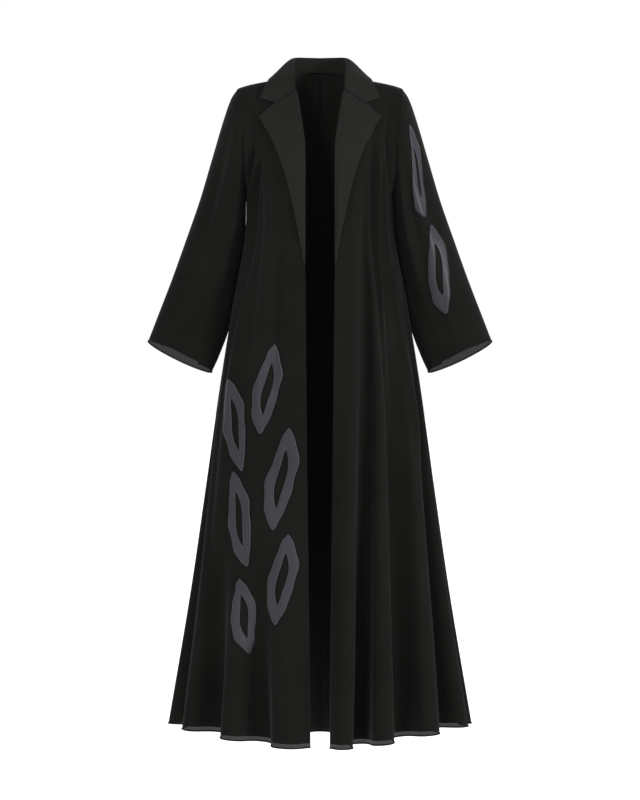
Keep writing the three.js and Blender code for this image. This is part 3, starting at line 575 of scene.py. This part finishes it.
def cord_along(name, path, radius, material, closed=False, sides=8):
    """A thin rolled edge or bead line along a path."""
    count = len(path)
    ahead = np.roll(path, -1, 0) if closed else np.concatenate([path[1:], path[-1:]])
    behind = np.roll(path, 1, 0) if closed else np.concatenate([path[:1], path[:-1]])
    along = unit(ahead - behind)
    first = unit(np.cross(along, np.array([0.3, 0.1, 1.0])))
    second = np.cross(along, first)
    turn = np.linspace(0, 2 * math.pi, sides, endpoint=False)
    ring = (path[:, None] + radius * (np.cos(turn)[None, :, None] * first[:, None]
                                      + np.sin(turn)[None, :, None] * second[:, None]))
    faces = [(r * sides + c, r * sides + (c + 1) % sides, ((r + 1) % count) * sides + (c + 1) % sides,
              ((r + 1) % count) * sides + c)
             for r in range(count if closed else count - 1) for c in range(sides)]
    return add_mesh(name, ring.reshape(-1, 3), faces, material)


# ---------------------------------------------------------------- materials
def cloth_material(name, colour, rough, sheen, see_through, weave, weave_depth, specular):
    """Woven cloth: fine bump, uneven colour, soft sheen and a little light let through."""
    mat = bpy.data.materials.new(name)
    mat.use_nodes = True
    nodes, links = mat.node_tree.nodes, mat.node_tree.links
    nodes.clear()
    out = nodes.new("ShaderNodeOutputMaterial")
    cloth = nodes.new("ShaderNodeBsdfPrincipled")
    cloth.inputs["Roughness"].default_value = rough
    cloth.inputs["Specular IOR Level"].default_value = specular
    cloth.inputs["Sheen Weight"].default_value = sheen
    cloth.inputs["Sheen Roughness"].default_value = 0.45
    place = nodes.new("ShaderNodeTexCoord")
    drift = nodes.new("ShaderNodeTexNoise")
    drift.inputs["Scale"].default_value = 9.0
    drift.inputs["Detail"].default_value = 3.0
    ramp = nodes.new("ShaderNodeValToRGB")
    ramp.color_ramp.elements[0].position, ramp.color_ramp.elements[1].position = 0.3, 0.75
    ramp.color_ramp.elements[0].color = (*[c * 0.86 for c in colour], 1)
    ramp.color_ramp.elements[1].color = (*[c * 1.12 for c in colour], 1)
    grain = nodes.new("ShaderNodeTexNoise")
    grain.inputs["Scale"].default_value = weave
    grain.inputs["Detail"].default_value = 2.0
    bump = nodes.new("ShaderNodeBump")
    bump.inputs["Strength"].default_value = weave_depth
    bump.inputs["Distance"].default_value = 0.0006
    links.new(place.outputs["Object"], drift.inputs["Vector"])
    links.new(place.outputs["Object"], grain.inputs["Vector"])
    links.new(drift.outputs["Fac"], ramp.inputs["Fac"])
    links.new(ramp.outputs["Color"], cloth.inputs["Base Color"])
    links.new(grain.outputs["Fac"], bump.inputs["Height"])
    links.new(bump.outputs["Normal"], cloth.inputs["Normal"])
    if see_through > 0:
        clear = nodes.new("ShaderNodeBsdfTransparent")
        share = nodes.new("ShaderNodeMixShader")
        share.inputs["Fac"].default_value = see_through
        links.new(cloth.outputs["BSDF"], share.inputs[1])
        links.new(clear.outputs["BSDF"], share.inputs[2])
        links.new(share.outputs["Shader"], out.inputs["Surface"])
    else:
        links.new(cloth.outputs["BSDF"], out.inputs["Surface"])
    return mat


CREPE = cloth_material("crepe", (0.0060, 0.0060, 0.0055), 0.85, 0.03, 0.0, 900, 0.12, 0.02)
# The hem edge lets light through, and its colour is painted lighter than the crepe: painted light along the
# hem and cuff edges.
SHEER_WITH_PAINTED_LIGHT = cloth_material("crepe_hem_edge_painted_light", (0.0088, 0.0088, 0.0080), 0.85, 0.05, 0.18, 900, 0.12, 0.02)
# A lighter copy of the crepe for the back panels, which hang in the cloak's shade: painted light.
CREPE_BACK_PAINTED_LIGHT = cloth_material("crepe_back_painted_light", (0.0105, 0.0105, 0.0096), 0.85, 0.03, 0.0, 900, 0.12, 0.02)
# A far lighter copy of the crepe for the sleeves' inside faces: painted light where the cuffs' insides show.
SLEEVE_INSIDE_PAINTED_LIGHT = cloth_material("crepe_inside_painted_light", (0.060, 0.060, 0.058), 0.7, 0.1, 0.0, 900, 0.12, 0.05)
FACED = cloth_material("crepe_faced", (0.0108, 0.0108, 0.0100), 0.85, 0.03, 0.0, 1100, 0.2, 0.02)
ROLL = cloth_material("rolled_hem", (0.004, 0.004, 0.004), 0.8, 0.02, 0.0, 1200, 0.2, 0.08)
SATIN = cloth_material("satin", (0.0195, 0.0184, 0.0236), 0.40, 0.03, 0.0, 260, 0.5, 0.20)
BEADS = cloth_material("beads", (0.075, 0.070, 0.088), 0.25, 0.0, 0.0, 400, 0.0, 0.6)

# Each sheet of cloth with its CAD node and the small pieces sewn on it.
declared = []


def finish_piece(obj, nodes):
    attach(obj, "root")
    if nodes:
        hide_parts(*nodes)
    return obj


# ---------------------------------------------------------------- panels
COLUMNS = 132
ROWS_UP, ROWS_DOWN = ((44, 130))


def levels():
    up = np.linspace(0, 1, ROWS_UP, endpoint=False)
    return np.concatenate([up, np.linspace(1, 2, ROWS_DOWN)])


panels = {}
for side, side_name in ((-1, "right"), (1, "left")):
    for back in (False, True):
        girth = np.linspace(JUST_PAST_SIDE if back else 0.0, 2.0 if back else 1.0, COLUMNS)
        grid_level, grid_girth = np.meshgrid(levels(), girth, indexing="ij")
        points = body_point(side, back, grid_girth, grid_level)
        if back:
            points[:, -1, 0] = 0.1 * side
        _, out = oval_at(np.clip(grid_level - 1, 0, 1), grid_girth)
        name = f"{'back' if back else 'front'}_{side_name}"
        panels[name] = points
        # The back panels take the lighter copy of the crepe: painted light.
        obj = cloth_grid(f"cloth_{name}", points, out * np.array([side, 1, 1]),
                         CREPE_BACK_PAINTED_LIGHT if back else CREPE, CLOTH_THICK)
        # The lowest row of each front lets a little light through, and is painted lighter than the crepe:
        # painted light along the hem.
        if not back:
            obj.data.materials.append(SHEER_WITH_PAINTED_LIGHT)
            for face in obj.data.polygons[-(COLUMNS - 1):]:
                face.material_index = 1
        finish_piece(obj, [name])
        hem = cord_along(f"hem_{name}", points[-1], HEM_ROLL_RADIUS, ROLL)
        finish_piece(hem, [])
        declared.append((obj, name, [hem]))

# Seam down the centre back: a thin pressed ridge of the seam allowance, inside.
seam_path = (panels["back_left"][3:, -1] + panels["back_right"][3:, -1]) / 2 - np.array([0, 1.0, 0])
seam = cord_along("centre_back_seam", seam_path, 1.2, ROLL, sides=6)
finish_piece(seam, [])

# ---------------------------------------------------------------- sleeves
AROUND = 144
ALONG = 110
CUFF_EDGE_ROWS = 2.4
INSIDE_SLOT, EDGE_SLOT = 1, 2
for side, side_name in ((-1, "right"), (1, "left")):
    share = np.linspace(0, 1, ALONG) ** 1.1
    angle = np.linspace(0, 2 * math.pi, AROUND, endpoint=False)
    grid_share, grid_angle = np.meshgrid(share, angle, indexing="ij")
    points = sleeve_point(side, grid_angle, grid_share)
    out = sleeve_out(side, grid_angle, grid_share)
    name = f"sleeve_{side_name}"
    obj = cloth_grid(f"cloth_{name}", points, out, CREPE, CLOTH_THICK, looped=True)
    # The sleeve's inside faces take the far lighter copy of the crepe: painted light.
    obj.data.materials.append(SLEEVE_INSIDE_PAINTED_LIGHT)
    obj.data.materials.append(SHEER_WITH_PAINTED_LIGHT)
    obj.modifiers["thickness"].material_offset = INSIDE_SLOT
    # The front of the cuff's edge lets a little light through, and is painted lighter than the crepe: painted
    # light along the edge.
    for rows_up in range(3):
        for c in range(AROUND):
            if rows_up <= CUFF_EDGE_ROWS * math.sin(angle[c]):
                obj.data.polygons[(ALONG - 2 - rows_up) * AROUND + c].material_index = EDGE_SLOT
    finish_piece(obj, [name])
    hem = cord_along(f"hem_{name}", points[-1], HEM_ROLL_RADIUS, ROLL, closed=True)
    finish_piece(hem, [])
    declared.append((obj, name, [hem]))

# ---------------------------------------------------------------- lapels
LAPEL_ROWS, LAPEL_ACROSS = ((110, 44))
ROLL_RADIUS, ROLL_RADIUS_AT_POINT = 2.2, 1.4
COLLAR_TUCK = 7.0
TUCKED_LIFT = 1.9


def gorge_drop(f):
    """The lapel's top edge: straight along the gorge, then up to the tip past the notch."""
    bend = (NOTCH["x"] - GORGE["x"]) / (LAPEL_EDGE["x"][0] - GORGE["x"])
    return np.where(f < bend, mix(GORGE["drop"], NOTCH["drop"], f / bend),
                    mix(NOTCH["drop"], LAPEL_EDGE["drop"][0], (f - bend) / (1 - bend)))


for side, side_name in ((-1, "right"), (1, "left")):
    down, across = np.meshgrid(np.linspace(0, 1, LAPEL_ROWS), np.linspace(0, 1, LAPEL_ACROSS),
                               indexing="ij")
    edge_drop = mix(LAPEL_EDGE["drop"][0], LAPEL_EDGE["drop"][-1], down)
    fold_drop = mix(GORGE["drop"], LAPEL_EDGE["drop"][-1] + 3, down)
    fold_x = np.where(fold_drop < UNDERARM_DROP, smooth(FRONT_EDGE, "drop", fold_drop, "x"),
                      FRONT_EDGE["x"][-1])
    x = mix(fold_x, smooth(LAPEL_EDGE, "drop", edge_drop, "x"), across)
    drop = mix(fold_drop, edge_drop, across)
    keep = np.clip(1 - 4 * down, 0, 1)
    drop = drop + keep * (gorge_drop(across) - mix(GORGE["drop"], LAPEL_EDGE["drop"][0], across))
    under_collar = np.clip(1 - down * 14, 0, 1) * ease((0.56 - across) * 12 + 0.5)
    drop = drop - COLLAR_TUCK * under_collar
    to_point = ease((1 - down) / 0.22)
    roll = mix(ROLL_RADIUS_AT_POINT, ROLL_RADIUS, to_point)
    lift = roll + to_point * (2.0 + 3.0 * across * np.sin(math.pi * np.minimum(1, down * 0.9 + 0.12)))
    lift = mix(mix(roll, lift, ease(across * 6)), TUCKED_LIFT, under_collar)
    points, out = lifted_front(side, x, drop, lift, creased=False)
    # The fold line turns round the front edge to the inside of the panel.
    turn = np.linspace(-math.pi / 2, math.pi / 2, 9)[:-1]
    edge, edge_out = lifted_front(side, fold_x[:, 0], fold_drop[:, 0], np.zeros(LAPEL_ROWS),
                                  creased=False)
    inward = unit(points[:, 0] - points[:, 1])
    rolled = (edge[:, None] + roll[:, :1, None] * (np.cos(turn)[None, :, None] * inward[:, None]
                                                   + np.sin(turn)[None, :, None] * edge_out[:, None]))
    narrow = np.clip((1 - down[:, :1]) * 2.5, 0.05, 1)[..., None]
    facing = rolled[:, :1] - inward[:, None] * np.array([18.0, 9.0])[None, :, None] * narrow
    points = np.concatenate([facing, rolled, points], 1)
    out = np.concatenate([np.repeat(-edge_out[:, None], 2, 1),
                          np.repeat(edge_out[:, None], len(turn), 1), out], 1)
    name = f"lapel_{side_name}"
    obj = cloth_grid(f"cloth_{name}", points, out, FACED, FACED_THICK)
    finish_piece(obj, [name])
    declared.append((obj, name, []))

# ---------------------------------------------------------------- collar
COLLAR_ROUND, COLLAR_ACROSS = ((181, 56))
STAND = 0.3
COLLAR_LIFT = 4.6
round_at, across = np.meshgrid(np.linspace(-1, 1, COLLAR_ROUND), np.linspace(0, 1, COLLAR_ACROSS),
                               indexing="ij")
station = np.abs(round_at) * (len(COLLAR["station"]) - 1)
col = {name: smooth(COLLAR, "station", station, name) for name in COLLAR if name != "station"}
seam_at = vec(col["sx"], col["sy"], col["su"])
fold_at = vec(col["fx"], col["fy"], col["fu"])
edge_at = vec(col["ex"], col["ey"], col["eu"])
radial = unit(vec(col["ex"] - col["fx"], col["ey"] - col["fy"], 0))
height = np.linalg.norm(fold_at - seam_at, axis=-1, keepdims=True)
stand = curve(seam_at, vec(0, 0, 1) * height, fold_at, radial * height * 0.35,
              np.clip(across / STAND, 0, 1))
fall_f = np.clip((across - STAND) / (1 - STAND), 0, 1)
fall_len = np.linalg.norm(edge_at - fold_at, axis=-1, keepdims=True)
fall = curve(fold_at, radial * fall_len * 0.75, edge_at, edge_at - fold_at, fall_f)
collar_points = np.where((across < STAND)[..., None], stand, fall)
# The two ends of the fall lie on the chest, cut off at the gorge and the notch.
bend = (NOTCH["x"] - GORGE["x"]) / (COLLAR_TIP["x"] - GORGE["x"])
end_drop = np.where(fall_f < bend, mix(GORGE["drop"], NOTCH["drop"] - 1, fall_f / bend),
                    mix(NOTCH["drop"] - 1, COLLAR_TIP["drop"], (fall_f - bend) / (1 - bend)))
end_weight = ease((np.abs(round_at) - 0.72) / 0.28)
laid_x = mix(collar_points[..., 0], mix(GORGE["x"], COLLAR_TIP["x"], fall_f), end_weight)
laid_drop = mix(-collar_points[..., 2], end_drop, end_weight)
laid, _ = lifted_front(1, np.clip(laid_x, 34, 160), np.clip(laid_drop, 8, 90),
                       np.full(laid_x.shape, COLLAR_LIFT), creased=True)
on_chest = (ease((np.abs(round_at) - 0.62) / 0.3) * (across >= STAND)
            * ease((laid_drop + 2) / 26))[..., None]
collar_points = mix(collar_points, laid, on_chest)
end_stand = (ease((np.abs(round_at) - 0.9) / 0.1) * (across < STAND))[..., None]
collar_points = mix(collar_points, laid[:, np.argmax(fall_f[0] > 0)][:, None], end_stand)
collar_points[..., 0] *= np.where(round_at < 0, -1, 1)
collar_out = np.broadcast_to(np.array([0.0, 1.0, 1.0]), collar_points.shape)
collar = cloth_grid("cloth_collar", collar_points, collar_out, FACED, FACED_THICK)
finish_piece(collar, ["collar"])
declared.append((collar, "collar", []))

# ---------------------------------------------------------------- leaves
LEAF_ROUND, LEAF_ACROSS = ((144, 9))
BEAD_SPACING, BEAD_RADIUS, BEAD_LIFT = 4.2, 0.95, 1.9
SATIN_LIFT = 2.3


def leaf_outline(length, width, turns, inner):
    """Places between a wavy leaf's rim (inner 0) and its opening (inner 1)."""
    along = np.cos(turns)
    bulge = np.sign(np.sin(turns)) * np.abs(np.sin(turns)) ** 1.5
    sway = 0.16 * np.sin(math.pi * along)
    wave = 0.05 * np.sin(7 * turns + 0.03 * length) + 0.04 * np.sin(11 * turns + 1.3)
    rim = length / 2 * along, width / 2 * (bulge * (1 + wave) + sway)
    opened = 0.58 * rim[0], width / 2 * (0.34 * bulge + 0.6 * sway)
    return mix(rim[0], opened[0], inner), mix(rim[1], opened[1], inner)


def bead_mesh(name, centres, outs, radius):
    """Twenty-sided beads, all in one mesh."""
    points, faces = [], []
    golden = (1 + 5**0.5) / 2
    shape = unit(np.array([(-1, golden, 0), (1, golden, 0), (-1, -golden, 0), (1, -golden, 0),
                           (0, -1, golden), (0, 1, golden), (0, -1, -golden), (0, 1, -golden),
                           (golden, 0, -1), (golden, 0, 1), (-golden, 0, -1), (-golden, 0, 1)], float))
    sides = [(0, 11, 5), (0, 5, 1), (0, 1, 7), (0, 7, 10), (0, 10, 11), (1, 5, 9), (5, 11, 4), (11, 10, 2),
             (10, 7, 6), (7, 1, 8), (3, 9, 4), (3, 4, 2), (3, 2, 6), (3, 6, 8), (3, 8, 9), (4, 9, 5),
             (2, 4, 11), (6, 2, 10), (8, 6, 7), (9, 8, 1)]
    for k, centre in enumerate(centres):
        points.append(centre + outs[k] * radius * 0.4 + shape * radius)
        faces += [tuple(12 * k + i for i in face) for face in sides]
    return add_mesh(name, np.concatenate(points), faces, BEADS)


def build_leaf(name, node, length, width, turn, place):
    """A satin leaf laid on the cloth, with a line of beads at its rim and its opening."""
    turns, inner = np.meshgrid(np.linspace(0, 2 * math.pi, LEAF_ROUND, endpoint=False),
                               np.linspace(0, 1, LEAF_ACROSS), indexing="ij")

    def laid(turns, inner, lift):
        along, across = leaf_outline(length, width, turns, inner)
        right = across * math.cos(turn) + along * math.sin(turn)
        up = along * math.cos(turn) - across * math.sin(turn)
        spot, out = place(right, up)
        return spot + out * np.asarray(lift)[..., None], out
    edge_dip = 0.7 * (1 - np.sin(math.pi * inner) ** 0.5)
    points, out = laid(turns.T, inner.T, SATIN_LIFT - edge_dip.T)
    obj = cloth_grid(f"satin_{name}", points, out, SATIN, SATIN_THICK, looped=True)
    finish_piece(obj, [node])
    bead_at = []
    for where in (0.02, 0.98):
        fine = np.linspace(0, 2 * math.pi, 1200, endpoint=False)
        line, _ = laid(fine, np.full(fine.shape, where), np.zeros(fine.shape))
        steps = np.linalg.norm(np.diff(line, axis=0, append=line[:1]), axis=-1)
        length_at = np.concatenate([[0], np.cumsum(steps)[:-1]])
        count = int(steps.sum() / BEAD_SPACING)
        chosen = np.interp(np.arange(count) * steps.sum() / count, length_at, fine)
        bead_at.append((chosen, np.full(count, where)))
    chosen = np.concatenate([b[0] for b in bead_at])
    where = np.concatenate([b[1] for b in bead_at])
    spots, outs = laid(chosen, where, np.full(chosen.shape, BEAD_LIFT))
    beads = bead_mesh(f"beads_{name}", spots, outs, BEAD_RADIUS)
    finish_piece(beads, [])
    declared.append((obj, node, [beads]))


def on_skirt(girth0, share0):
    def place(right, up):
        share = share0 - up / (HEM_DROP_FRONT - UNDERARM_DROP)
        girth = girth0 - right / quarter_length(share, False)

        def surface(u, v):
            return body_point(-1, False, u, v)
        spot = surface(girth, 1 + share)
        return spot, outward(surface, girth, 1 + share, spot * np.array([1, 1, 0]) + np.array([0, -20, 0]),
                             ((0, 1), (0, 2)))
    return place


def on_sleeve(angle0, share0):
    def place(right, up):
        share = share0 - up / SLEEVE_LENGTH
        angle = angle0 - right / mix(SLEEVE_WIDE_AT_TOP, SLEEVE_WIDE_AT_CUFF, share)
        return sleeve_point(1, angle, share), sleeve_out(1, angle, share)
    return place


for k, (girth0, share0, turn, length, width) in enumerate(zip(*SKIRT_LEAVES.values())):
    build_leaf(f"skirt_leaf_{k + 1}", f"leaf_{k + 1}", length, width, turn, on_skirt(girth0, share0))
for k, (angle0, share0, turn, length, width) in enumerate(zip(*SLEEVE_LEAVES.values())):
    build_leaf(f"arm_leaf_{k + 1}", f"sleeve_leaf_{k + 1}", length, width, turn, on_sleeve(angle0, share0))

# ---------------------------------------------------------------- cuts of the cloth
# The cut of each piece: width and length in metres, its flat area, and the sheet that it rests on.
CUTS = {
    "front_right": (0.56, 1.44, 0.41, "cloth_sleeve_right"),
    "front_left": (0.68, 1.44, 0.50, "cloth_sleeve_left"),
    "back_right": (0.64, 1.45, 0.475, "cloth_back_left"),
    "back_left": (0.64, 1.45, 0.48, "cloth_back_right"),
    "sleeve_right": (0.40, 0.60, 0.185, "cloth_front_right"),
    "sleeve_left": (0.40, 0.60, 0.185, "cloth_front_left"),
    "lapel_right": (0.14, 0.38, 0.024, "cloth_front_right"),
    "lapel_left": (0.14, 0.38, 0.024, "cloth_front_left"),
    "collar": (0.42, 0.11, 0.038, "cloth_back_left"),
}

for obj, node, extra in declared:
    if node in CUTS:
        width, length, area, rests = CUTS[node]
    else:
        k = int(node[-1]) - 1
        tab = SLEEVE_LEAVES if node.startswith("sleeve") else SKIRT_LEAVES
        width, length = tab["width"][k] * 1.06e-3, tab["length"][k] * 1e-3

# ---------------------------------------------------------------- studio
floor_mat = bpy.data.materials.new("pale_floor")
floor_mat.use_nodes = True
floor_shader = floor_mat.node_tree.nodes["Principled BSDF"]
floor_shader.inputs["Base Color"].default_value = (1, 1, 1, 1)
floor_shader.inputs["Emission Color"].default_value = (1, 1, 1, 1)
floor_shader.inputs["Emission Strength"].default_value = 0.35
floor_shader.inputs["Roughness"].default_value = 0.9
floor_shader.inputs["Specular IOR Level"].default_value = 0.0
bpy.ops.mesh.primitive_plane_add(size=400, location=(0, 0, CAD_LOW[2] - 0.35))
floor = bpy.context.object
floor.name = "floor"
floor.data.materials.append(floor_mat)

world = bpy.data.worlds.new("studio")
bpy.context.scene.world = world
world.use_nodes = True
world.node_tree.nodes["Background"].inputs["Color"].default_value = (1, 1, 1, 1)
world.node_tree.nodes["Background"].inputs["Strength"].default_value = 1.0


def softbox(name, place, target, size, watts):
    data = bpy.data.lights.new(name, "AREA")
    data.shape, data.size, data.energy = "SQUARE", size, watts
    obj = bpy.data.objects.new(name, data)
    bpy.context.scene.collection.objects.link(obj)
    obj.location = place
    obj.rotation_mode = "QUATERNION"
    obj.rotation_quaternion = (Vector(target) - Vector(place)).to_track_quat("-Z", "Y")


middle = (CAD_LOW + CAD_HIGH) / 2
softbox("key", (-1.6, -4.0, middle[2] + 2.6), middle, 0.9, 70)
softbox("fill", (3.4, -2.8, middle[2] + 1.0), middle, 1.0, 120)

# ---------------------------------------------------------------- camera
CAMERA_AWAY = 6.0
EYE_DROP = 0.678
camera_data = bpy.data.cameras.new("camera")
camera_data.sensor_width = 36
camera_data.lens = 127.5
camera = bpy.data.objects.new("camera", camera_data)
bpy.context.scene.collection.objects.link(camera)
camera.location = (ORIGIN[0], ORIGIN[1] - CAMERA_AWAY, ORIGIN[2] - EYE_DROP)
camera.rotation_euler = (math.pi / 2, 0, 0)
bpy.context.scene.camera = camera
bpy.context.scene.view_settings.view_transform = "Standard"
